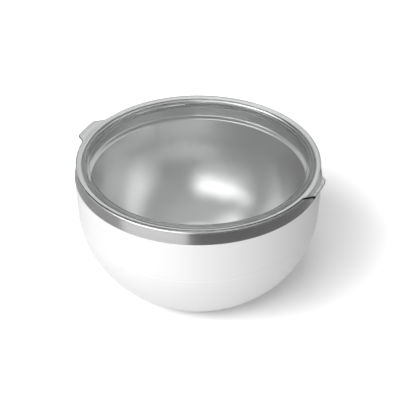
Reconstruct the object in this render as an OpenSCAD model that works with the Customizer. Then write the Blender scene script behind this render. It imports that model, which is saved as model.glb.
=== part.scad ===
// Insulated double-walled steel bowl with a clear press-in lid.
// Origin at the middle of the base on the floor, +Z up, pull tabs on +X and -X.
// Every sheet piece is a path of corners with bend radii, and its parallel one sheet away.

/* [Overall] */
// Diameter of the lid's flange, which is also the bowl's nominal diameter
lid_d = 240; // [228:1:256]
// Height of the closed bowl from the floor to the lid's top
height = 140; // [132:1:150]

/* [Outer wall] */
// Thickness of the stainless sheets
sheet_t = 0.6; // [0.5:0.1:1]
// How far the rolled lip stands inside the lid's flange edge
lip_inset = 0.6; // [0.3:0.1:1.5]
// How much the bare steel band flares out from the lip to its lower edge
band_flare = 2.3; // [1.5:0.1:3.5]
// Depth of the bare steel band's lower edge below the lid's top
band_drop = 14.9; // [12:0.1:18]
// How much the coated wall draws in from the band to the crease
wall_draw = 1.1; // [0.4:0.1:2.5]
// Depth of the crease ring below the lid's top
crease_drop = 58.3; // [50:0.1:66]
// Depth of the fine groove rolled in along the crease
crease_depth = 0.4; // [0.2:0.05:0.6]
// Width of that groove
crease_w = 2.4; // [1.8:0.1:4]
// Bend radius at the bottom of that groove
crease_bend = 2; // [1.5:0.1:2.5]
// Angle at which the lower wall leaves the crease, from the vertical
lower_lean = 6.2; // [2:0.1:10]
// Diameter at which the lower wall's curve would reach the floor
foot_d = 127.2; // [120:0.2:136]
// Outside radius of the bend from the lower wall to the bottom
foot_bend = 8; // [5:0.5:10]

/* [Base] */
// Clear height between the floor and the steel bottom
ground_gap = 3; // [2:0.1:4]
// Depth of the round seat pressed up into the bottom
seat_h = 3.2; // [2.6:0.1:4]
// Width of the flat land between the lower wall's bend and the seat
land_w = 3.4; // [2.6:0.1:6]
// Bend radius of the pressed seat
seat_bend = 1.2; // [1:0.1:1.6]
// Play of the foot ring in the seat
ring_play = 0.1; // [0.05:0.05:0.2]
// Width of the rubber foot ring
ring_w = 9.5; // [7:0.1:13]
// Number of grip grooves round the foot ring's sole
ring_grooves = 2; // [1:1:3]
// Width and depth of a grip groove
groove_w = 1; // [0.6:0.1:1.4]
// Thickness of the base cap's sheet
cap_t = 0.5; // [0.4:0.05:0.8]
// Height of the base cap
cap_h = 2; // [1.6:0.1:2.4]
// Diameter of the evacuation port in the bottom
port_d = 3; // [2:0.5:5]
// Diameter of the solder glass bead over the port
bead_d = 8; // [6:0.5:12]
// Height of that bead
bead_h = 1; // [0.6:0.1:1.2]

/* [Inner bowl] */
// Radius of the lip's outer edge
lip_round = 1.4; // [1.3:0.1:2]
// Width of the lip from its outer edge to the mouth
lip_w = 4.6; // [4.2:0.1:6]
// Radius of the lip's inner edge
mouth_round = 1.8; // [1.5:0.1:2.4]
// How much the rim wall draws in from the mouth to the ledge
rim_draw = 4.4; // [3:0.1:5.4]
// Depth of the ledge below the lid's top
ledge_drop = 21; // [19:0.1:24]
// Width of the ledge
ledge_w = 4.2; // [3.8:0.1:6]
// Fall of the ledge towards the middle
ledge_fall = 1.4; // [0.6:0.1:2]
// Bend radii at the ledge's outer and inner edge
ledge_bend = 1.6; // [1.2:0.1:1.8]
// Depth of the belly, where the inner wall starts to curve in, below the ledge
belly_drop = 24.8; // [20:0.2:30]
// How much the inner wall draws in from the ledge to the belly
belly_draw = 1.3; // [0.6:0.1:2.5]
// Thickness of the bowl's bottom, from the floor to the inside
bottom_t = 12.5; // [11.5:0.1:16]
// Diameter at which the inner curve would reach the inside bottom
floor_d = 103; // [96:0.5:110]
// Radius of the blend from the wall to the inside bottom
floor_bend = 36; // [28:1:38]

/* [Vacuum space] */
// Thickness of the copper heat shield foil
foil_t = 0.1; // [0.05:0.05:0.2]
// Diameter of the getter cup
getter_d = 12; // [9:0.5:15]
// Height of the getter cup
getter_h = 2.2; // [1.6:0.1:2.6]
// Depth of the getter's pressed filling below the cup's rim
getter_dip = 0.4; // [0.2:0.1:0.8]
// Wall of the getter cup
getter_wall = 0.8; // [0.5:0.1:1.2]
// Distance of the getter cup from the middle
getter_place = 27; // [20:0.5:34]

/* [Powder coat] */
// Thickness of the powder coat
coat_t = 0.2; // [0.1:0.05:0.4]

/* [Lid] */
// Thickness of the lid's flange and of its pull tabs
flange_t = 2.4; // [2:0.1:3]
// Gap between the flange and the lip that it rests over
rest_gap = 0.3; // [0.2:0.05:0.4]
// Thickness of the lid's plate
plate_t = 1.8; // [1.6:0.1:2.4]
// Depth of the plate's top below the flange's top
recess = 3.4; // [2.6:0.1:4]
// Distance of the recess wall inside the mouth
recess_inset = 4.4; // [4:0.1:5]
// Radius of the recess's upper edge
recess_round = 0.5; // [0.3:0.1:1.4]
// Radius of the flange's outer edge, above and below
flange_round = 1; // [0.6:0.1:1]
// Wall thickness of the skirt that carries the seal
skirt_t = 2.4; // [2:0.1:2.8]
// Depth of the seal's groove in the skirt
seal_groove = 1.4; // [1:0.1:1.6]
// Height of the small lip that holds the seal from below
seal_lip = 0.8; // [0.6:0.1:1.1]
// Gap between the lid's collar and the steel rim wall
collar_gap = 0.3; // [0.2:0.05:0.6]

/* [Pull tabs] */
// Width of a pull tab where it leaves the flange
tab_root_w = 43.8; // [36:0.2:52]
// Width of a pull tab at its outer edge
tab_tip_w = 29.3; // [22:0.1:34]
// How far a pull tab reaches past the flange
tab_reach = 7.6; // [5:0.1:11]
// How far the outer edge bows out in its middle
tab_bow = 0.9; // [0.3:0.1:1.5]
// Corner radius of the outer edge
tab_round = 2.6; // [1.5:0.1:3.5]
// Radius where a pull tab runs into the flange
tab_root_round = 3; // [2:0.1:3.5]
// Height of the tab's outer edge, which turns down as a finger grip
tab_grip_h = 3.6; // [3:0.1:5]
// Thickness of the turned-down edge
tab_grip_t = 1.6; // [1.2:0.1:2.2]

/* [Lid seal] */
// Gap between the seal's lip and the steel rim wall
seal_gap = 0.3; // [0.2:0.05:0.4]
// Play of the seal in its groove, above and below
seal_play = 0.1; // [0.05:0.01:0.15]
// Height of the seal's bead in its groove
seal_h = 2; // [1.8:0.1:2.6]
// Thickness of that bead
seal_bead = 2; // [1.6:0.1:2.2]
// Thickness of the seal's sealing lip
seal_lip_t = 0.9; // [0.7:0.1:1.1]

/* [Hidden] */

// Overrun of every cut, and the smallest edge rounding
over = 1;
edge_round = 0.3;

// Where the heat shield starts between the ledge and the belly
shield_top_share = 0.2;

// Most degrees per facet of a bend, and the most that a facet may stand off its arc
bend_step = 9;
facet_sag = 0.02;
$fn = 96;

// Heights from the floor
band_z = height - band_drop;
crease_z = height - crease_drop;
lip_z = height - flange_t - rest_gap;
seam_z = lip_z - lip_round;
ledge_z = height - ledge_drop;
belly_z = ledge_z - ledge_fall - belly_drop;
ceiling_z = ground_gap + seat_h;
bottom_top_z = ceiling_z + sheet_t;

// Radii
lid_r = lid_d / 2;
lip_r = lid_r - lip_inset;
band_r = lip_r + band_flare;
crease_r = band_r - wall_draw;
foot_r = foot_d / 2;
mouth_r = lip_r - lip_w;
rim_foot_r = mouth_r - rim_draw;
ledge_r = rim_foot_r - ledge_w;
belly_r = ledge_r - belly_draw;
floor_r = floor_d / 2;

// Paths of corners
function unit(v) = v / norm(v);
function side(v) = [-v.y, v.x];
function flat(p) = [p.x, p.y];
function cross2(u, v) = u.x * v.y - u.y * v.x;

// Number of facets for a turn at radius r
function facets(turn, r) = max(2, ceil(turn / min(bend_step, 2 * acos(1 - facet_sag / r))));

// Length of the edge from corner p to its neighbour a that the bend at p may use, as both bends share it
function room(a, p) = norm(flat(a) - flat(p)) * p.z / (p.z + a.z);

// Points of the arc that rounds corner p between its neighbours a and b
function corner(a, p, b) =
    let(u = unit(flat(a) - flat(p)), v = unit(flat(b) - flat(p)), turn = 180 - acos(u * v),
        r = p.z <= 0 || turn < 1 ? 0 : min(p.z, min(room(a, p), room(b, p)) / tan(turn / 2)))
    r <= 0 ? [flat(p)] :
    let(middle = flat(p) + unit(u + v) * r / cos(turn / 2),
        start = flat(p) + u * r * tan(turn / 2) - middle,
        begin = atan2(start.y, start.x),
        sweep = cross2(u, v) > 0 ? -turn : turn,
        n = facets(turn, r))
    [for (i = [0:n]) middle + r * [cos(begin + sweep * i / n), sin(begin + sweep * i / n)]];

// A path with its corners rounded; its two ends stay as they are
function rounded(path) =
    let(last = len(path) - 1)
    concat([flat(path[0])],
           [for (i = [1:last - 1]) each corner(path[i - 1], path[i], path[i + 1])],
           [flat(path[last])]);

// A closed outline with its corners rounded
function rounded_ring(path) =
    let(n = len(path))
    [for (i = [0:n - 1]) each corner(path[(i + n - 1) % n], path[i], path[(i + 1) % n])];

// The same path moved sideways by d, to the left of its direction
function moved(path, d) =
    let(last = len(path) - 1)
    [for (i = [0:last])
        let(p = flat(path[i]),
            u = unit(p - flat(path[max(i - 1, 0)]) + (i == 0 ? flat(path[1]) - p : [0, 0])),
            v = unit(flat(path[min(i + 1, last)]) - p + (i == last ? p - flat(path[last - 1]) : [0, 0])),
            left = (side(u) + side(v)) / (1 + side(u) * side(v)),
            bend = path[i].z,
            r = bend <= 0 ? 0 : max(0, cross2(u, v) > 0 ? bend - d : bend + d))
        [p.x + left.x * d, p.y + left.y * d, r]];

// Outline of a sheet that lies from d0 to d1 beside a path
function sheet(path, d0, d1) =
    let(a = rounded(moved(path, d0)), b = rounded(moved(path, d1)), n = len(b))
    concat(a, [for (i = [0:n - 1]) b[n - 1 - i]]);

// Radius of the arc that leaves point a at a lean from the vertical and runs down to point b
function arc_radius(a, lean, b) =
    let(d = b - a) (d * d) / (2 * (d.y * sin(lean) - d.x * cos(lean)));

// Points from angle t0 to t1 below the horizontal on an arc round a middle
function arc_points(middle, r, t0, t1) =
    let(n = facets(t1 - t0, r))
    [for (i = [0:n]) let(t = t0 + (t1 - t0) * i / n) [middle.x + r * cos(t), middle.y - r * sin(t), 0]];

// Wall that runs down that arc and turns into the level z with a bend
function round_wall(a, lean, b, z, bend) =
    let(r = arc_radius(a, lean, b),
        middle = a + r * [-cos(lean), sin(lean)],
        bend_x = middle.x + sqrt(pow(r - bend, 2) - pow(middle.y - z - bend, 2)),
        meet = asin((middle.y - z - bend) / (r - bend)))
    concat(arc_points(middle, r, lean, meet),
           [for (p = arc_points([bend_x, z + bend], bend, meet, 90)) if (p.y < middle.y - r * sin(meet)) p]);

// Lower outside wall, from the crease into the bottom
lower_wall = round_wall([crease_r, crease_z - crease_w / 2], lower_lean, [foot_r, 0], ground_gap, foot_bend);
seat_r = lower_wall[len(lower_wall) - 1].x - land_w - seat_bend;
ring_in_r = seat_r - ring_w;

// Outside face of the outer wall, down from the lip's seam to the evacuation port
band_path = [[lip_r, seam_z, 0],
             [lip_r, seam_z - lip_round, lip_round],
             [band_r, band_z, 0]];
crease_path = [[crease_r, crease_z + crease_w / 2, 0],
               [crease_r - crease_depth, crease_z, crease_bend]];
seat_path = [[seat_r, ground_gap, seat_bend], [seat_r, ceiling_z, seat_bend]];
outer_path = concat(band_path, crease_path, lower_wall, seat_path, [[port_d / 2, ceiling_z, 0]]);

// The coat's path is the same face, from the band's edge to the seat's bend
coat_path = concat([band_path[2]], crease_path, lower_wall, [[seat_r + seat_bend + sheet_t, ground_gap, 0]]);

// Food side of the inner wall, from the lip's outer edge to the middle of the inside bottom
ledge_edge = [ledge_r, ledge_z - ledge_fall];
inner_wall = round_wall([belly_r, belly_z], atan(belly_draw / belly_drop), [floor_r, bottom_t], bottom_t,
                        floor_bend);
inner_path = concat([[lip_r, seam_z, 0],
                     [lip_r, lip_z, lip_round],
                     [mouth_r, lip_z, mouth_round],
                     [rim_foot_r, ledge_z, ledge_bend],
                     [ledge_edge.x, ledge_edge.y, ledge_bend]],
                    inner_wall, [[0, bottom_t, 0]]);

// The heat shield lies on the inner wall's vacuum side, from below the ledge to the bottom
shield_top = ledge_edge + ([belly_r, belly_z] - ledge_edge) * shield_top_share;
shield_path = concat([[shield_top.x, shield_top.y, 0]], inner_wall, [[0, bottom_t, 0]]);

// Lid radii and heights
recess_r = mouth_r - recess_inset;
skirt_r = recess_r;
plate_z = height - recess;
groove_r = skirt_r - seal_groove;
groove_top = plate_z - plate_t;
groove_bottom = groove_top - seal_h - 2 * seal_play;
skirt_z = groove_bottom - seal_lip;
skirt_in_r = groove_r - skirt_t;

// Steel rim wall's radius at height z
function rim_wall_r(z) = mouth_r - rim_draw * (lip_z - z) / (lip_z - ledge_z);

// The collar fills the mouth between the flange and the seal
collar_r = rim_wall_r(groove_top) - collar_gap;

// Section of the lid, from the middle of its top round the flange and skirt to its underside
lid_section = rounded([[0, plate_z, 0],
                       [recess_r, plate_z, edge_round],
                       [recess_r, height, recess_round],
                       [lid_r, height, flange_round],
                       [lid_r, height - flange_t, flange_round],
                       [collar_r, height - flange_t, edge_round],
                       [collar_r, groove_top, edge_round],
                       [groove_r, groove_top, 0],
                       [groove_r, groove_bottom, 0],
                       [skirt_r, groove_bottom, edge_round],
                       [skirt_r, skirt_z, edge_round],
                       [skirt_in_r, skirt_z, edge_round],
                       [skirt_in_r, groove_top, edge_round],
                       [0, groove_top, 0]]);

// Plan of one pull tab on +X, from inside the flange round its outer edge
tab_r = lid_r + tab_reach;
tab_in_x = lid_r - flange_t - tab_root_round;
tab_root_x = sqrt(pow(lid_r, 2) - pow(tab_root_w / 2, 2));
tab_bow_r = (tab_tip_w / 2 - tab_round) * tab_tip_w / 2 / tab_bow;
tab_plan = rounded_ring([[tab_in_x, -tab_root_w / 2 - tab_root_round, 0],
                         [tab_root_x, -tab_root_w / 2, tab_root_round],
                         [tab_r - tab_bow, -tab_tip_w / 2, tab_round],
                         [tab_r, 0, tab_bow_r],
                         [tab_r - tab_bow, tab_tip_w / 2, tab_round],
                         [tab_root_x, tab_root_w / 2, tab_root_round],
                         [tab_in_x, tab_root_w / 2 + tab_root_round, 0]]);

// Section of the seal: a bead in the groove, and a lip that leans up and out to the rim wall
seal_low = groove_bottom + seal_play;
seal_high = groove_top - seal_play;
seal_tip_z = seal_high - seal_lip_t;
seal_section = rounded_ring([[groove_r, seal_low, 0],
                             [groove_r + seal_bead, seal_low, edge_round],
                             [rim_wall_r(seal_tip_z) - seal_gap, seal_tip_z, edge_round],
                             [rim_wall_r(seal_high) - seal_gap, seal_high, edge_round],
                             [groove_r + seal_bead, seal_low + seal_lip_t + edge_round, edge_round],
                             [groove_r + seal_bead, seal_high, edge_round],
                             [groove_r, seal_high, 0]]);

module turned(outline) {
    rotate_extrude() polygon(outline);
}

// Deep-drawn food bowl: rolled lip, rim wall, ledge and round inside
module inner_shell() {
    color("silver") turned(sheet(inner_path, 0, sheet_t));
}

// Deep-drawn outer bowl: bare band, crease, round lower wall and the seat pressed into its bottom
module outer_shell() {
    color("lightgray") turned(sheet(outer_path, -sheet_t, 0));
}

// White coat on the outer bowl below the bare band
module powder_coat() {
    color("white") turned(sheet(coat_path, 0, coat_t));
}

// Pressed steel cap under the bottom that covers the evacuation port
module base_cap() {
    cap_path = [[ring_in_r - edge_round, ceiling_z, 0],
                [ring_in_r - edge_round, ceiling_z - cap_h, seat_bend],
                [0, ceiling_z - cap_h, 0]];
    color("gray") turned(sheet(cap_path, -cap_t, 0));
}

// Rubber ring that the bowl stands on, with grip grooves in its sole
module foot_ring() {
    groove_pitch = ring_w / (ring_grooves + 1);
    color("dimgray") difference() {
        turned(rounded_ring([[ring_in_r, 0, edge_round],
                             [seat_r - ring_play, 0, edge_round],
                             [seat_r - ring_play, ceiling_z, seat_bend + ring_play],
                             [ring_in_r, ceiling_z, edge_round]]));
        for (i = [1:ring_grooves])
            turned([[ring_in_r + i * groove_pitch - groove_w, -over],
                    [ring_in_r + i * groove_pitch, -over],
                    [ring_in_r + i * groove_pitch, groove_w],
                    [ring_in_r + i * groove_pitch - groove_w, groove_w]]);
    }
}

// Solder glass that closes the evacuation port: a plug in the hole and a bead below it
module port_seal() {
    color("darkslategray") {
        translate([0, 0, ceiling_z]) cylinder(h = sheet_t, d = port_d);
        translate([0, 0, ceiling_z - bead_h]) cylinder(h = bead_h, d = bead_d);
    }
}

// Getter cup on the vacuum side of the bottom, open upwards with its pressed filling
module getter() {
    color("dimgray") translate([getter_place, 0, bottom_top_z]) difference() {
        cylinder(h = getter_h, d = getter_d);
        translate([0, 0, getter_h - getter_dip]) cylinder(h = over, d = getter_d - 2 * getter_wall);
    }
}

// Copper foil on the vacuum side of the inner bowl
module heat_shield() {
    color("chocolate") turned(sheet(shield_path, sheet_t, sheet_t + foil_t));
}

// One pull tab on +X, as thick as the flange, with its outer edge turned down as a finger grip
module pull_tab() {
    grip_x = tab_r - tab_bow - tab_grip_t;
    grip_z = height - tab_grip_h;
    difference() {
        translate([0, 0, grip_z]) linear_extrude(tab_grip_h) polygon(tab_plan);
        translate([0, -tab_root_w, grip_z - over]) cube([grip_x, 2 * tab_root_w, over + tab_grip_h - flange_t]);
    }
}

// Clear lid in one moulding: recessed plate, flange, skirt with the seal's groove, and two pull tabs
module lid() {
    color("lightblue") {
        turned(lid_section);
        for (turn = [0, 180]) rotate([0, 0, turn]) pull_tab();
    }
}

// Soft seal in the skirt's groove
module lid_seal() {
    color("whitesmoke") turned(seal_section);
}

inner_shell();
outer_shell();
powder_coat();
base_cap();
foot_ring();
port_seal();
getter();
heat_shield();
lid();
lid_seal();
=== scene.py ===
# Insulated double-walled steel bowl with a clear press-in lid, spun and moulded over its solids.
import math
import bpy
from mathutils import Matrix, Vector


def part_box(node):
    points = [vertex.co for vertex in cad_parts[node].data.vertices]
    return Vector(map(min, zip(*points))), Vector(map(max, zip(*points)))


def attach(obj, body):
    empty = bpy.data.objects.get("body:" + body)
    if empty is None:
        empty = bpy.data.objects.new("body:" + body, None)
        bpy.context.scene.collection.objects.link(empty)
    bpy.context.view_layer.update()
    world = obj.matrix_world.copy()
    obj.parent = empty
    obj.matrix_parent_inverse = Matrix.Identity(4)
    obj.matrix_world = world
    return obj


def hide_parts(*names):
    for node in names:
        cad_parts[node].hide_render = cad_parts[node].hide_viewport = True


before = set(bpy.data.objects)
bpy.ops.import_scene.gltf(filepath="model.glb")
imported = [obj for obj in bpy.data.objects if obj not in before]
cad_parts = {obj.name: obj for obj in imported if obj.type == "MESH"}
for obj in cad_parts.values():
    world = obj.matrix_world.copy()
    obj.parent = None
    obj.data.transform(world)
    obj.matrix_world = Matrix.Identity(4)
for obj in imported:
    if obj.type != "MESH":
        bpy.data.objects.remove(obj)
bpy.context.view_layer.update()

# All lengths are in metres
MM = 0.001

# Heights and radii that the pieces share, as on the solids
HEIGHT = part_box("lid")[1].z
LID_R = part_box("lid")[1].y
LIP_R = 119.4 * MM
LIP_Z = 137.3 * MM
LIP_ROUND = 1.4 * MM
SEAM_Z = LIP_Z - LIP_ROUND
SHEET = 0.6 * MM
BAND_R = 121.7 * MM
BAND_Z = 125.1 * MM
CREASE_R = 120.6 * MM
CREASE_Z = 81.7 * MM
CREASE_W = 2.4 * MM
CREASE_DEPTH = 0.4 * MM
GROUND_GAP = 3 * MM
CEILING_Z = 6.2 * MM
SEAT_R = 62.36 * MM
SEAT_BEND = 1.2 * MM
COAT = 0.2 * MM

# Faces round the axis, then for a bend and for a long curve the degrees of each face and the least
# faces. A corner that turns by less than STRAIGHT isn't bent, edges that turn by less than
# SMOOTH_ANGLE look smooth, and points nearer than MERGE become one.
STEPS = 256
BEND_STEP = 10
BEND_FACES = 3
CURVE_STEP = 2.5
CURVE_FACES = 2
STRAIGHT = 1
SMOOTH_ANGLE = 34
MERGE = 0.002 * MM


# Outlines of turned pieces: corners are (radius, height, bend)

def corner(before, here, after):
    """Points of the bend at a corner of an outline."""
    p = Vector(here[:2])
    u = (Vector(before[:2]) - p).normalized()
    v = (Vector(after[:2]) - p).normalized()
    turn = math.pi - u.angle(v)
    radius = here[2]
    if radius <= 0 or turn < math.radians(STRAIGHT):
        return [p]
    middle = p + (u + v).normalized() * radius / math.cos(turn / 2)
    start = p + u * radius * math.tan(turn / 2) - middle
    sweep = -turn if u.x * v.y - u.y * v.x > 0 else turn
    count = max(BEND_FACES, math.ceil(math.degrees(turn) / BEND_STEP))
    begin = math.atan2(start.y, start.x)
    angles = [begin + sweep * i / count for i in range(count + 1)]
    return [middle + radius * Vector((math.cos(a), math.sin(a))) for a in angles]


def rounded(path):
    """An open outline with its corners bent."""
    inner = [p for k in range(1, len(path) - 1)
             for p in corner(path[k - 1], path[k], path[k + 1])]
    return [Vector(path[0][:2]), *inner, Vector(path[-1][:2])]


def rounded_ring(path):
    """A closed outline with its corners bent, which ends on its first point."""
    n = len(path)
    points = [p for k in range(n) for p in corner(path[k - 1], path[k], path[(k + 1) % n])]
    return [*points, points[0]]


def arc(middle, radius, start, end):
    """Points of an arc, from one angle below the horizontal to another."""
    count = max(CURVE_FACES, math.ceil((end - start) / CURVE_STEP))
    angles = [math.radians(start + (end - start) * i / count) for i in range(count + 1)]
    return [(middle.x + radius * math.cos(a), middle.y - radius * math.sin(a), 0) for a in angles]


def round_wall(top, lean, aim, level, bend):
    """A wall: it leaves top at a lean (degrees), curves towards aim and turns into a level."""
    a, d = math.radians(lean), aim - top
    radius = d.length_squared / (2 * (d.y * math.sin(a) - d.x * math.cos(a)))
    middle = top + radius * Vector((-math.cos(a), math.sin(a)))
    drop = middle.y - level - bend
    meet = math.degrees(math.asin(drop / (radius - bend)))
    foot = Vector((middle.x + math.sqrt((radius - bend) ** 2 - drop ** 2), level + bend))
    return arc(middle, radius, lean, meet) + arc(foot, bend, meet, 90)[1:]


# Modelling, as by hand

def edit_mode(on):
    bpy.ops.object.mode_set(mode="EDIT" if on else "OBJECT")


def drawn(name, outline, place):
    """A new piece: an outline drawn point by point, with place to turn its points into space."""
    bpy.ops.object.select_all(action="DESELECT")
    spots = [place(p) for p in outline]
    bpy.ops.mesh.primitive_plane_add(size=MM, location=spots[0])
    piece = bpy.context.object
    piece.name = piece.data.name = name
    edit_mode(True)
    bpy.ops.mesh.merge(type="CENTER")
    for a, b in zip(spots, spots[1:]):
        bpy.ops.mesh.extrude_region_move(TRANSFORM_OT_translate={"value": b - a})
    bpy.ops.mesh.select_all(action="SELECT")
    return piece


def settled(piece):
    """Leaves edit mode with faces outwards, and the object at the origin."""
    bpy.ops.mesh.select_all(action="SELECT")
    bpy.ops.mesh.remove_doubles(threshold=MERGE)
    bpy.ops.mesh.normals_make_consistent(inside=False)
    edit_mode(False)
    bpy.ops.object.transform_apply(location=True, rotation=True, scale=True)
    return piece


def spun(name, outline):
    """A turned piece: its outline spun round the bowl's axis."""
    piece = drawn(name, outline, lambda p: Vector((p.x, 0, p.y)))
    bpy.ops.mesh.spin(steps=STEPS, angle=math.tau, center=(0, 0, 0), axis=(0, 0, 1))
    return settled(piece)


def modified(piece, kind, **settings):
    """Adds a modifier and applies it."""
    bpy.context.view_layer.objects.active = piece
    modifier = piece.modifiers.new(kind, kind)
    for name, value in settings.items():
        setattr(modifier, name, value)
    bpy.ops.object.modifier_apply(modifier=modifier.name)
    return piece


def sheet(name, path, thickness, offset):
    """A drawn sheet: its path spun, then given its thickness to one side."""
    piece = spun(name, rounded(path))
    return modified(piece, "SOLIDIFY", thickness=thickness, offset=offset, use_even_offset=True)


# Colours and nodes

def linear(code):
    """Linear colour of an sRGB hex code."""
    parts = [int(code[i:i + 2], 16) / 255 for i in (1, 3, 5)]
    return (*[c / 12.92 if c <= 0.04045 else ((c + 0.055) / 1.055) ** 2.4 for c in parts], 1)


def connect(tree, node, inputs):
    """Sets a node's inputs, or links them where the value is the output of another node."""
    for name, value in inputs.items():
        if isinstance(value, bpy.types.NodeSocket):
            tree.links.new(value, node.inputs[name])
        else:
            node.inputs[name].default_value = value


def add(tree, kind, inputs=None, **properties):
    """Adds a node with its properties and inputs."""
    node = tree.nodes.new(kind)
    for name, value in properties.items():
        setattr(node, name, value)
    connect(tree, node, inputs or {})
    return node


def material(name):
    """A new material with a Principled shader, and its tree and shader."""
    made = bpy.data.materials.new(name)
    made.use_nodes = True
    tree = made.node_tree
    return made, tree, tree.nodes["Principled BSDF"]


def surface(tree, shader):
    """Makes a shader the one that the material shows."""
    connect(tree, tree.nodes["Material Output"], {"Surface": shader.outputs[0]})


def object_place(tree):
    """The place on the object itself, so that patterns keep their real size."""
    return add(tree, "ShaderNodeTexCoord").outputs["Object"]


def noise(tree, place, scale, detail, **more):
    """A noise pattern, from 0 to 1."""
    return add(tree, "ShaderNodeTexNoise",
               {"Vector": place, "Scale": scale, "Detail": detail, **more}).outputs["Fac"]


def spread(tree, pattern, low, high):
    """A pattern from 0 to 1, spread from low to high."""
    return add(tree, "ShaderNodeMapRange",
               {"Value": pattern, "To Min": low, "To Max": high}).outputs[0]


def mixed(tree, factor, a, b):
    """a where the factor is 0, and b where it is 1."""
    return add(tree, "ShaderNodeMix", {"Factor": factor, "A": a, "B": b}).outputs[0]


def bumped(tree, pattern, strength, depth):
    """The surface's direction over a pattern of small heights."""
    return add(tree, "ShaderNodeBump",
               {"Strength": strength, "Distance": depth, "Height": pattern}).outputs[0]


def turned_coordinates(tree, across, along):
    """Coordinates for lines that run round the axis: lines per metre, and breaks per radian."""
    x, y, z = add(tree, "ShaderNodeSeparateXYZ", {0: object_place(tree)}).outputs
    flat = add(tree, "ShaderNodeCombineXYZ", {0: x, 1: y})
    radius = add(tree, "ShaderNodeVectorMath", {0: flat.outputs[0]}, operation="LENGTH")
    turn = add(tree, "ShaderNodeMath", {0: y, 1: x}, operation="ARCTAN2")
    lines = add(tree, "ShaderNodeCombineXYZ",
                {0: radius.outputs["Value"], 1: z, 2: turn.outputs[0]})
    return add(tree, "ShaderNodeVectorMath", {0: lines.outputs[0], 1: (across, across, along)},
               operation="MULTIPLY").outputs[0]


# Patterns per metre: clouds in the steel's sheen and in the white, flow lines, the silicone's skin
STEEL_CLOUDS = 18.0
COAT_CLOUDS = 14.0
FLOW_LINES = 30.0
SKIN_GRAIN = 400.0

# Steel: breaks of a turning line in a radian, strength of the lines, and share of the roughness
LINE_BREAKS = 3
STEEL_BUMP = 0.12
STEEL_VARIES = 0.04


def spun_steel(name, colour, roughness, grain, depth, drawn_out):
    """Stainless steel finished round the axis.

    A soft sheen, drawn out where it is brushed, over fine turning lines.
    """
    made, tree, shader = material(name)
    lines = noise(tree, turned_coordinates(tree, 1 / grain, LINE_BREAKS), 1.0, 3.0, Roughness=0.6)
    cloud = noise(tree, object_place(tree), STEEL_CLOUDS, 2.0)
    rough = spread(tree, mixed(tree, 0.5, lines, cloud),
                   roughness * (1 - STEEL_VARIES), roughness * (1 + STEEL_VARIES))
    around = add(tree, "ShaderNodeTangent", direction_type="RADIAL", axis="Z")
    connect(tree, shader, {"Base Color": linear(colour),
                           "Metallic": 1.0,
                           "Anisotropic": drawn_out,
                           "Roughness": rough,
                           "Normal": bumped(tree, lines, STEEL_BUMP, depth),
                           "Tangent": around.outputs[0]})
    return made


# The coat's pebble: length of its pattern, and depth
PEBBLE = 1.2 * MM
PEBBLE_DEPTH = 0.03 * MM


def powder_coating():
    """White polyester powder coat, baked on: a satin white with a faint half-millimetre pebble."""
    made, tree, shader = material("white_powder_coat")
    place = object_place(tree)
    pebble = noise(tree, place, 1 / PEBBLE, 2.0)
    tone = noise(tree, place, COAT_CLOUDS, 3.0)
    white = add(tree, "ShaderNodeMix",
                {"Factor": tone, "A": linear("#F0F0F0"), "B": linear("#F4F4F4")}, data_type="RGBA")
    connect(tree, shader, {"Base Color": white.outputs["Result"],
                           "Roughness": spread(tree, pebble, 0.42, 0.52),
                           "Normal": bumped(tree, pebble, 0.15, PEBBLE_DEPTH)})
    return made


def clear_copolyester():
    """Clear copolyester, moulded and polished: greyish, with crisp edges and faint flow lines.

    It shows what is under it and lets the lamps light it.
    """
    made, tree, shader = material("clear_copolyester")
    flow = noise(tree, object_place(tree), FLOW_LINES, 2.0, Distortion=0.4)
    connect(tree, shader, {"Base Color": linear("#EEEFEF"),
                           "Transmission Weight": 1.0,
                           "IOR": 1.52,
                           "Roughness": spread(tree, flow, 0.0, 0.003)})
    shadow = add(tree, "ShaderNodeLightPath").outputs["Is Shadow Ray"]
    clear = add(tree, "ShaderNodeBsdfTransparent", {"Color": linear("#F0F1F1")})
    surface(tree, add(tree, "ShaderNodeMixShader",
                      {0: shadow, 1: shader.outputs[0], 2: clear.outputs[0]}))
    return made


def soft_silicone():
    """Translucent silicone rubber: milky, with a dull skin."""
    made, tree, shader = material("clear_silicone")
    skin = noise(tree, object_place(tree), SKIN_GRAIN, 2.0)
    connect(tree, shader, {"Base Color": linear("#9C9D9D"),
                           "Transmission Weight": 0.6,
                           "IOR": 1.41,
                           "Roughness": spread(tree, skin, 0.35, 0.5)})
    return made


# Plain finishes: change of the roughness, and strength of the grain
PLAIN_VARIES = 0.08
PLAIN_BUMP = 0.2


def plain_solid(name, colour, roughness, metallic, grain):
    """A plain finish with a fine grain in its shine: for rubber, glass, pressed powder and foil."""
    made, tree, shader = material(name)
    skin = noise(tree, object_place(tree), 1 / grain, 3.0)
    connect(tree, shader, {"Base Color": linear(colour),
                           "Metallic": metallic,
                           "Roughness": spread(tree, skin, roughness - PLAIN_VARIES,
                                               roughness + PLAIN_VARIES),
                           "Normal": bumped(tree, skin, PLAIN_BUMP, grain / 10)})
    return made


def dress(piece, body, slot, finish, *nodes):
    """Smooths a piece, flat stretches flat, gives it its finish and body, and hides its solids.

    The slot is not used.
    """
    bpy.ops.object.select_all(action="DESELECT")
    piece.select_set(True)
    bpy.context.view_layer.objects.active = piece
    bpy.ops.object.shade_smooth_by_angle(angle=math.radians(SMOOTH_ANGLE))
    modified(piece, "WEIGHTED_NORMAL", mode="FACE_AREA", keep_sharp=True)
    piece.data.materials.clear()
    piece.data.materials.append(finish)
    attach(piece, body)
    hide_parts(*nodes)
    return piece


# Finishes

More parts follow.
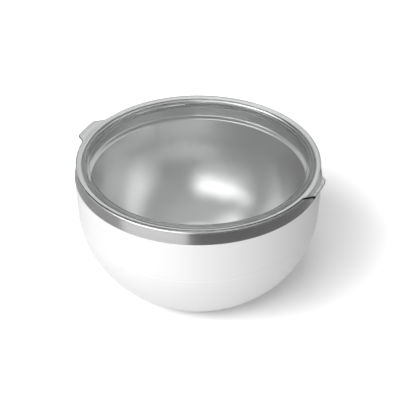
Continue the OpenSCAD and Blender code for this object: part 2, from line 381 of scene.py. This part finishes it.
inner_steel = spun_steel("satin_stainless_inside", "#DADADA", roughness=0.29, grain=0.5 * MM,
                         depth=0.002 * MM, drawn_out=0.0)
band_steel = spun_steel("brushed_stainless_band", "#C0C0C0", roughness=0.24, grain=0.4 * MM,
                        depth=0.01 * MM, drawn_out=0.35)
base_steel = spun_steel("pressed_stainless_base", "#A9A9A9", roughness=0.38, grain=0.6 * MM,
                        depth=0.02 * MM, drawn_out=0.2)
coat_white = powder_coating()
lid_clear = clear_copolyester()
seal_clear = soft_silicone()
ring_rubber = plain_solid("grey_rubber", "#55565A", roughness=0.75, metallic=0.0, grain=0.4 * MM)
solder_glass = plain_solid("solder_glass", "#4A5352", roughness=0.2, metallic=0.0, grain=1 * MM)
getter_powder = plain_solid("pressed_getter_powder", "#5E5B57", roughness=0.8, metallic=0.0,
                            grain=0.5 * MM)
copper_foil = plain_solid("copper_foil", "#C8835F", roughness=0.3, metallic=1.0, grain=3 * MM)

# The steel food bowl: rolled lip, rim wall, ledge and round inside

MOUTH_R = 114.8 * MM
MOUTH_ROUND = 1.8 * MM
RIM_FOOT_R = 110.4 * MM
LEDGE_Z = 119.0 * MM
LEDGE_R = 106.2 * MM
LEDGE_FALL = 1.4 * MM
LEDGE_BEND = 1.6 * MM
BELLY_R = 104.9 * MM
BELLY_Z = 92.8 * MM
BELLY_LEAN = 2.86
FLOOR_AIM = Vector((51.5 * MM, 12.5 * MM))
FLOOR_BEND = 36 * MM

inner_wall = round_wall(Vector((BELLY_R, BELLY_Z)), BELLY_LEAN, FLOOR_AIM, FLOOR_AIM.y,
                        FLOOR_BEND)
inner_path = [(LIP_R, SEAM_Z, 0),
              (LIP_R, LIP_Z, LIP_ROUND),
              (MOUTH_R, LIP_Z, MOUTH_ROUND),
              (RIM_FOOT_R, LEDGE_Z, LEDGE_BEND),
              (LEDGE_R, LEDGE_Z - LEDGE_FALL, LEDGE_BEND),
              *inner_wall,
              (0, FLOOR_AIM.y, 0)]
food_bowl = sheet("steel_food_bowl", inner_path, SHEET, -1)
dress(food_bowl, "bowl", "inner_steel", inner_steel, "inner_shell")

# The steel outer bowl: bare band, crease, round lower wall and the seat in its bottom

LOWER_LEAN = 6.2
FOOT_AIM = Vector((63.6 * MM, 0))
FOOT_BEND = 8 * MM
PORT_R = 1.5 * MM
CREASE_EDGE_BEND = 0.6 * MM
CREASE_BEND = 2 * MM

band_path = [(LIP_R, SEAM_Z, 0),
             (LIP_R, SEAM_Z - LIP_ROUND, LIP_ROUND),
             (BAND_R, BAND_Z, 0)]
crease_path = [(CREASE_R, CREASE_Z + CREASE_W / 2, CREASE_EDGE_BEND),
               (CREASE_R - CREASE_DEPTH, CREASE_Z, CREASE_BEND)]
lower_wall = round_wall(Vector((CREASE_R, CREASE_Z - CREASE_W / 2)), LOWER_LEAN, FOOT_AIM,
                        GROUND_GAP, FOOT_BEND)
seat_path = [(SEAT_R, GROUND_GAP, SEAT_BEND),
             (SEAT_R, CEILING_Z, SEAT_BEND),
             (PORT_R, CEILING_Z, 0)]
outer_path = [*band_path, *crease_path, *lower_wall, *seat_path]
outer_bowl = sheet("steel_outer_bowl", outer_path, SHEET, -1)
dress(outer_bowl, "bowl", "band_steel", band_steel, "outer_shell")

# The white coat, from the band's edge to the seat

coat_end = (SEAT_R + SEAT_BEND + SHEET, GROUND_GAP, 0)
coat = sheet("white_coat", [band_path[-1], *crease_path, *lower_wall, coat_end], COAT, 1)
dress(coat, "bowl", "white_coat", coat_white, "powder_coat")

# The lid: a spun moulding with two pull tabs

EDGE = 0.3 * MM
FLANGE = 2.4 * MM
PLATE_Z = HEIGHT - 3.4 * MM
PLATE = 1.8 * MM
RECESS_R = MOUTH_R - 4.4 * MM
RECESS_ROUND = 0.5 * MM
FLANGE_ROUND = 1 * MM
COLLAR_GAP = 0.3 * MM
SKIRT = 2.4 * MM
SEAL_H = 2.0 * MM
SEAL_PLAY = 0.1 * MM
SEAL_LIP = 0.8 * MM
GROOVE_R = RECESS_R - 1.4 * MM
GROOVE_TOP = PLATE_Z - PLATE
GROOVE_BOTTOM = GROOVE_TOP - SEAL_H - 2 * SEAL_PLAY
SKIRT_Z = GROOVE_BOTTOM - SEAL_LIP


def rim_wall_r(z):
    """Radius of the steel rim wall at a height."""
    return MOUTH_R - (MOUTH_R - RIM_FOOT_R) * (LIP_Z - z) / (LIP_Z - LEDGE_Z)


COLLAR_R = rim_wall_r(GROOVE_TOP) - COLLAR_GAP
lid_outline = rounded([(0, PLATE_Z, 0),
                       (RECESS_R, PLATE_Z, EDGE),
                       (RECESS_R, HEIGHT, RECESS_ROUND),
                       (LID_R, HEIGHT, FLANGE_ROUND),
                       (LID_R, HEIGHT - FLANGE, FLANGE_ROUND),
                       (COLLAR_R, HEIGHT - FLANGE, EDGE),
                       (COLLAR_R, GROOVE_TOP, EDGE),
                       (GROOVE_R, GROOVE_TOP, 0),
                       (GROOVE_R, GROOVE_BOTTOM, 0),
                       (RECESS_R, GROOVE_BOTTOM, EDGE),
                       (RECESS_R, SKIRT_Z, EDGE),
                       (GROOVE_R - SKIRT, SKIRT_Z, EDGE),
                       (GROOVE_R - SKIRT, GROOVE_TOP, EDGE),
                       (0, GROOVE_TOP, 0)])
lid = spun("clear_lid", lid_outline)

TAB_R = 127.6 * MM
TAB_BOW = 0.9 * MM
TAB_ROOT = 43.8 / 2 * MM
TAB_TIP = 29.3 / 2 * MM
TAB_ROUND = 2.6 * MM
TAB_ROOT_ROUND = 3 * MM
TAB_GRIP_H = 3.6 * MM
TAB_GRIP = 1.6 * MM
TAB_EDGE = 0.4 * MM
TAB_EDGE_FACES = 3
TAB_SHARP = 50

tab_root_x = math.sqrt(LID_R ** 2 - TAB_ROOT ** 2)
tab_in_x = LID_R - FLANGE - TAB_ROOT_ROUND
tab_bow_r = (TAB_TIP - TAB_ROUND) * TAB_TIP / TAB_BOW
tab_plan = rounded_ring([(tab_in_x, -TAB_ROOT - TAB_ROOT_ROUND, 0),
                         (tab_root_x, -TAB_ROOT, TAB_ROOT_ROUND),
                         (TAB_R - TAB_BOW, -TAB_TIP, TAB_ROUND),
                         (TAB_R, 0, tab_bow_r),
                         (TAB_R - TAB_BOW, TAB_TIP, TAB_ROUND),
                         (tab_root_x, TAB_ROOT, TAB_ROOT_ROUND),
                         (tab_in_x, TAB_ROOT + TAB_ROOT_ROUND, 0)])


def pull_tab(turn):
    """A pull tab: its plan extruded, hollowed below behind its grip, its edges softened."""
    tab = drawn("pull_tab", tab_plan, lambda p: Vector((p.x, p.y, HEIGHT - TAB_GRIP_H)))
    bpy.ops.mesh.remove_doubles(threshold=MERGE)
    bpy.ops.mesh.edge_face_add()
    bpy.ops.mesh.extrude_region_move(TRANSFORM_OT_translate={"value": (0, 0, TAB_GRIP_H)})
    settled(tab)
    grip_x = TAB_R - TAB_BOW - TAB_GRIP
    bpy.ops.object.select_all(action="DESELECT")
    bpy.ops.mesh.primitive_cube_add(size=1, location=(grip_x / 2, 0, HEIGHT - FLANGE - LID_R / 2),
                                    scale=(grip_x, LID_R, LID_R))
    hollow = bpy.context.object
    modified(tab, "BOOLEAN", operation="DIFFERENCE", object=hollow, solver="EXACT")
    bpy.data.objects.remove(hollow)
    modified(tab, "BEVEL", width=TAB_EDGE, segments=TAB_EDGE_FACES, limit_method="ANGLE",
             angle_limit=math.radians(TAB_SHARP))
    tab.rotation_euler.z = turn
    return tab


for turn in (0, math.pi):
    tab = pull_tab(turn)
    modified(lid, "BOOLEAN", operation="UNION", object=tab, solver="EXACT")
    bpy.data.objects.remove(tab)
dress(lid, "lid_body", "clear_plastic", lid_clear, "lid")

# The soft seal in the skirt's groove

SEAL_BEAD = 2 * MM
SEAL_LIP_T = 0.9 * MM
SEAL_GAP = 0.3 * MM
seal_low = GROOVE_BOTTOM + SEAL_PLAY
seal_high = GROOVE_TOP - SEAL_PLAY
tip_z = seal_high - SEAL_LIP_T
seal = spun("soft_seal", rounded_ring([(GROOVE_R, seal_low, 0),
                                       (GROOVE_R + SEAL_BEAD, seal_low, EDGE),
                                       (rim_wall_r(tip_z) - SEAL_GAP, tip_z, EDGE),
                                       (rim_wall_r(seal_high) - SEAL_GAP, seal_high, EDGE),
                                       (GROOVE_R + SEAL_BEAD, seal_low + SEAL_LIP_T + EDGE, EDGE),
                                       (GROOVE_R + SEAL_BEAD, seal_high, EDGE),
                                       (GROOVE_R, seal_high, 0)]))
dress(seal, "lid_body", "clear_silicone", seal_clear, "lid_seal")

# Under the bowl: the rubber ring with its two grooves, and the pressed cap inside it

RING_PLAY = 0.1 * MM
RING_OUT = SEAT_R - RING_PLAY
RING_IN = SEAT_R - 9.5 * MM
GROOVE = 1 * MM
GROOVES = 2
CAP_Z = CEILING_Z - 2 * MM
CAP_SHEET = 0.5 * MM

pitch = (RING_OUT + RING_PLAY - RING_IN) / (GROOVES + 1)
sole = [(RING_IN, 0, EDGE)]
for k in range(1, GROOVES + 1):
    edge = RING_IN + k * pitch
    sole += [(edge - GROOVE, 0, 0), (edge - GROOVE, GROOVE, 0), (edge, GROOVE, 0), (edge, 0, 0)]
ring = spun("foot_ring_rubber", rounded_ring([*sole,
                                              (RING_OUT, 0, EDGE),
                                              (RING_OUT, CEILING_Z, SEAT_BEND + RING_PLAY),
                                              (RING_IN, CEILING_Z, EDGE)]))
dress(ring, "bowl", "foot_rubber", ring_rubber, "foot_ring")

cap = sheet("base_cap_steel", [(RING_IN - EDGE, CEILING_Z, 0),
                               (RING_IN - EDGE, CAP_Z, SEAT_BEND),
                               (0, CAP_Z, 0)], CAP_SHEET, -1)
dress(cap, "bowl", "base_steel", base_steel, "base_cap")

# Sealed between the walls: these solids keep their shapes

for node, finish in {"port_seal": solder_glass, "getter": getter_powder,
                     "heat_shield": copper_foil}.items():
    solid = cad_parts[node]
    solid.data.materials.clear()
    solid.data.materials.append(finish)

# The camera of the photograph

VIEW_TURN = 25
VIEW_PAN = 0.11
VIEW_DOWN = 35.70
VIEW_BACK = 7.172 * LID_R
VIEW_UP = 4.717 * LID_R
LENS = 94.5

view_turn = math.radians(VIEW_TURN)


def seen_from_camera(across, away, up):
    """A place in space from its distances across, away and up, as the camera sees them."""
    return Vector((across * math.cos(view_turn) - away * math.sin(view_turn),
                   across * math.sin(view_turn) + away * math.cos(view_turn), up))


camera = bpy.data.objects.new("camera", bpy.data.cameras.new("camera"))
bpy.context.scene.collection.objects.link(camera)
camera.data.lens = LENS
camera.location = seen_from_camera(0, -VIEW_BACK, HEIGHT + VIEW_UP)
camera.rotation_euler = (math.radians(90 - VIEW_DOWN), 0, view_turn - math.radians(VIEW_PAN))
bpy.context.scene.camera = camera

# The floor: white card that keeps the shadow. For what is seen directly, through the lid or in the
# steel it is printed lighter, so that it reads as the white background. Seen directly it is painted
# lighter still away from the bowl and its shadow: painted shade, which keeps the floor near the
# bowl darker, so that the shadow ends sooner.

FLOOR_R = 1.6
FLOOR_CORNERS = 96
FLOOR_CARD = 0.80
FLOOR_IN_STEEL = 1.0
FLOOR_THROUGH_LID = 0.70
FLOOR_SEEN = 1.25
# Painted light and shade on the floor seen directly: its level away from the bowl, the middle of
# the painted shade towards the bowl's shadow, and the distances where the painted shade starts to
# fade and where it has faded.
FLOOR_PAINTED_LIGHT = 1.65
PAINTED_SHADE_MIDDLE = seen_from_camera(0.06, 0.06, 0)
PAINTED_SHADE_TO = 0.10
PAINTED_SHADE_FADED = 0.20

bpy.ops.object.select_all(action="DESELECT")
bpy.ops.mesh.primitive_circle_add(vertices=FLOOR_CORNERS, radius=FLOOR_R, fill_type="NGON",
                                  location=(0, 0, 0))
floor = bpy.context.object
floor.name = "floor"
made, tree, _ = material("white_card_painted_shade")
ray = add(tree, "ShaderNodeLightPath").outputs
# Painted shade: seen directly, the floor is darker near the bowl's shadow and lighter further out.
away = add(tree, "ShaderNodeVectorMath", {0: object_place(tree), 1: PAINTED_SHADE_MIDDLE},
           operation="DISTANCE")
seen_with_painted_shade = add(tree, "ShaderNodeMapRange",
           {"Value": away.outputs["Value"], "From Min": PAINTED_SHADE_TO, "From Max": PAINTED_SHADE_FADED,
            "To Min": FLOOR_SEEN, "To Max": FLOOR_PAINTED_LIGHT}, interpolation_type="SMOOTHSTEP")
tone = mixed(tree, ray["Is Glossy Ray"], FLOOR_CARD, FLOOR_IN_STEEL)
tone = mixed(tree, ray["Is Transmission Ray"], tone, FLOOR_THROUGH_LID)
tone = mixed(tree, ray["Is Camera Ray"], tone, seen_with_painted_shade.outputs[0])
surface(tree, add(tree, "ShaderNodeBsdfDiffuse", {"Color": tone}))
floor.data.materials.append(made)

# Studio light. Lamps light the matt surfaces; what shiny surfaces see of the room is in the world
# and on three cards. Azimuths in degrees run from the camera's side towards the right, elevations
# from the horizon.

LAMP_DISTANCE = 1.5
FLAG_STEPS = 24


def placed(azimuth, elevation, distance):
    """A place in space from its azimuth, elevation and distance."""
    a, e = math.radians(azimuth), math.radians(elevation)
    return seen_from_camera(math.sin(a) * math.cos(e) * distance,
                            -math.cos(a) * math.cos(e) * distance, math.sin(e) * distance)


def soft_box(name, azimuth, elevation, width, height, radiance):
    """A soft box that faces the bowl and that shiny surfaces don't see."""
    box = bpy.data.objects.new(name, bpy.data.lights.new(name, "AREA"))
    bpy.context.scene.collection.objects.link(box)
    box.data.shape = "RECTANGLE"
    box.data.size, box.data.size_y = width, height
    box.data.energy = radiance * math.pi * width * height
    place = placed(azimuth, elevation, LAMP_DISTANCE)
    box.location = place + Vector((0, 0, HEIGHT / 2))
    box.rotation_euler = place.to_track_quat("Z", "Y").to_euler()
    box.visible_camera = box.visible_glossy = box.visible_transmission = False


soft_box("key_box", azimuth=-40, elevation=50, width=1.5, height=0.95, radiance=3.9)
soft_box("front_box", azimuth=-20, elevation=9, width=2.2, height=0.45, radiance=1.3)
soft_box("back_box", azimuth=-158, elevation=60, width=1.1, height=0.55, radiance=1.6)


def flag(name, start, end, distance, height, tone):
    """A dark curved card on the floor, between two azimuths, which only shiny surfaces see."""
    foot = placed(start, 0, distance)
    card = drawn(name, [0, height], lambda z: foot + Vector((0, 0, z)))
    bpy.ops.mesh.spin(steps=FLAG_STEPS, angle=math.radians(start - end), center=(0, 0, 0),
                      axis=(0, 0, 1))
    edit_mode(False)
    card.visible_camera = card.visible_diffuse = False
    card.visible_transmission = card.visible_shadow = False
    felt, tree, shader = material(name + "_felt")
    connect(tree, shader, {"Base Color": (tone, tone, tone, 1), "Roughness": 1.0})
    card.data.materials.append(felt)


flag("right_flag", start=-6, end=88, distance=0.2, height=0.22, tone=0.34)
flag("side_flag", start=88, end=140, distance=0.21, height=0.22, tone=0.6)
flag("left_flag", start=-165, end=-50, distance=0.2, height=0.13, tone=0.75)

# The room: its level for matt surfaces, and for shiny ones its dim level and its brighter patches
# (azimuth, elevation, half width, half height, softness, level)
ROOM_LIGHT = 0.33
ROOM_DIM = 0.45
ROOM_PATCHES = ((-22, 30, 25, 14, 6, 3.3),
                (-62, 24, 18, 12, 6, 4.0),
                (114, 15, 60, 6, 7, 4.2),
                (180, 60, 40, 20, 10, 1.5),
                (-105, 60, 35, 12, 8, 1.6),
                (180, 34, 20, 7, 8, 0.4),
                (0, 90, 200, 35, 10, 0.15))

# Straight through the lid, level ways see the floor and steep ones the room (sines of elevation)
LEVEL_TO = 0.15
STEEP_FROM = 0.35

world = bpy.data.worlds.new("white_room")
bpy.context.scene.world = world
world.use_nodes = True
world.cycles.sampling_method = "NONE"
tree = world.node_tree
room = tree.nodes["Background"]
way = add(tree, "ShaderNodeTexCoord").outputs["Generated"]


def calculate(operation, *values):
    """The result of a math node in the world."""
    return add(tree, "ShaderNodeMath", dict(enumerate(values)), operation=operation).outputs[0]


def soft_edge(value, half, soft):
    """1 where a value is nearer to zero than half, softly down to 0 beyond."""
    return add(tree, "ShaderNodeMapRange",
               {"Value": calculate("ABSOLUTE", value), "From Min": math.radians(half - soft),
                "From Max": math.radians(half + soft), "To Min": 1.0, "To Max": 0.0},
               interpolation_type="SMOOTHSTEP").outputs[0]


def bright_patch(azimuth, elevation, wide, high, soft, level):
    """Brightness of a soft-edged patch of the room, from its middle, half sizes and level."""
    turned = add(tree, "ShaderNodeVectorRotate",
                 {"Vector": way, "Angle": -math.radians(azimuth) - view_turn},
                 rotation_type="Z_AXIS")
    x, y, z = add(tree, "ShaderNodeSeparateXYZ", {0: turned.outputs[0]}).outputs
    sideways = calculate("ARCTAN2", x, calculate("MULTIPLY", y, -1.0))
    upwards = calculate("SUBTRACT", calculate("ARCSINE", z), math.radians(elevation))
    inside = calculate("MULTIPLY", soft_edge(sideways, wide, soft), soft_edge(upwards, high, soft))
    return calculate("MULTIPLY", inside, level)


# What shiny surfaces see: a dim room with bright patches in front on the left, low on the right
# and high at the back
shine = ROOM_DIM
for patch in ROOM_PATCHES:
    shine = calculate("ADD", shine, bright_patch(*patch))

# Light ways that come straight through the lid and run out level see the tone of the floor there
ray = add(tree, "ShaderNodeLightPath").outputs
bounced = calculate("MINIMUM", calculate("ADD", ray["Glossy Depth"], ray["Diffuse Depth"]), 1.0)
straight = calculate("MULTIPLY", ray["Is Transmission Ray"], calculate("SUBTRACT", 1.0, bounced))
upward = add(tree, "ShaderNodeSeparateXYZ", {0: way}).outputs[2]
level_way = add(tree, "ShaderNodeMapRange", {"Value": upward, "From Min": LEVEL_TO,
                                             "From Max": STEEP_FROM, "To Min": 1.0, "To Max": 0.0})
strength = mixed(tree, ray["Is Glossy Ray"], ROOM_LIGHT, shine)
strength = mixed(tree, calculate("MULTIPLY", straight, level_way.outputs[0]), strength,
                 FLOOR_THROUGH_LID)
strength = mixed(tree, ray["Is Camera Ray"], strength, 1.0)
connect(tree, room, {"Strength": strength, "Color": (1, 1, 1, 1)})

bpy.context.scene.view_settings.view_transform = "Standard"
